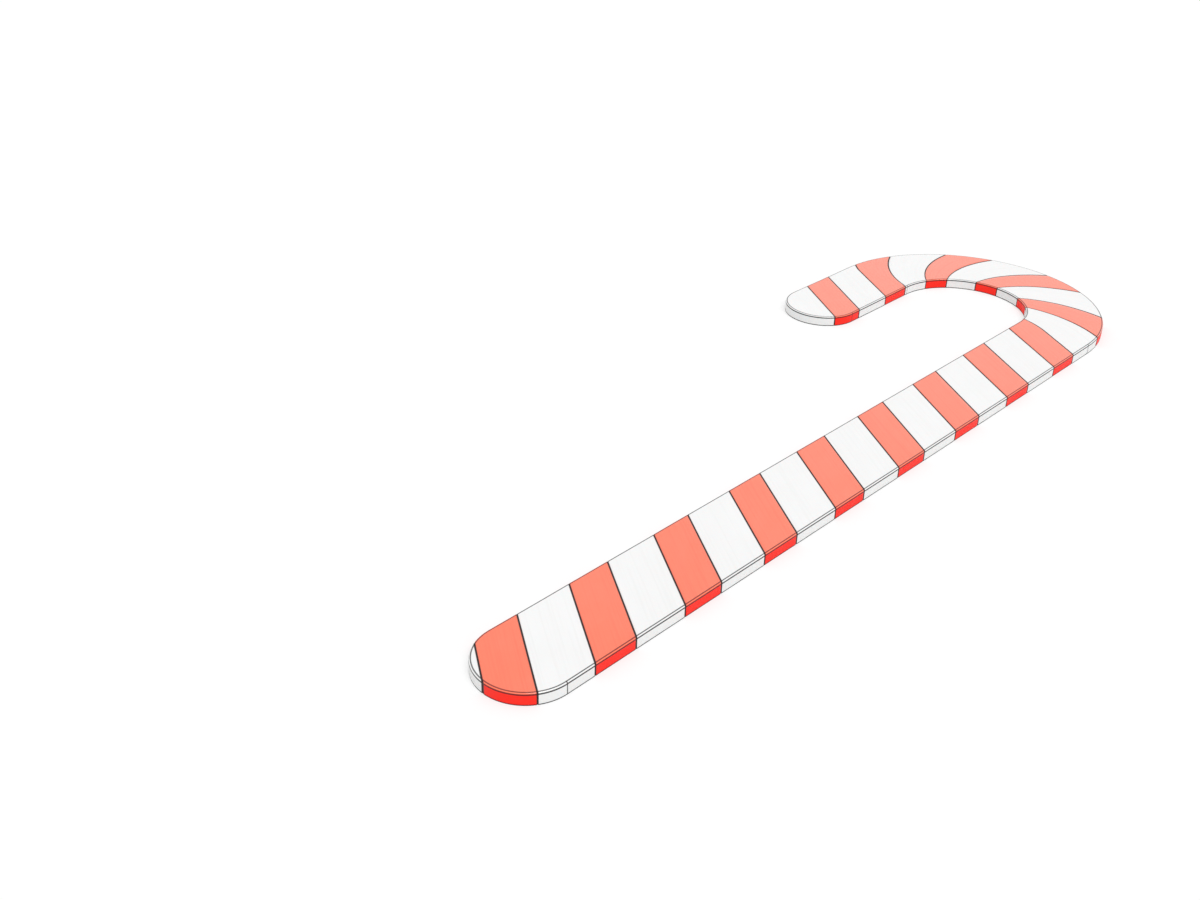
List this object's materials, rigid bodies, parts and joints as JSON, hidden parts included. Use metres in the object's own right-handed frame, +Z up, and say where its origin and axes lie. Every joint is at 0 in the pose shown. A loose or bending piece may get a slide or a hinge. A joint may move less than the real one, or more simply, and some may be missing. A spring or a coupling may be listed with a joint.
{
  "type": "candy cane",
  "caption": "Flat hook-shaped peppermint sugar cane with slanted red bands on white, round ends and a softly rounded upper rim.",
  "frame": {"origin": "centre of the bounding box in plan, on the flat underside that the cane lies on", "axes": "+Y along the shaft towards the hook, +X towards the shaft's side with the tail on -X, +Z up out of the upper face"},
  "size_m": [0.0472, 0.15, 0.0017],
  "materials": {
    "boiled_sugar": "glossy opaque boiled sugar, white with slanted red bands; the colour is the mean of the two"
  },
  "bodies": {
    "root": {"candy_cane": "boiled_sugar"}
  },
  "joints": []
}
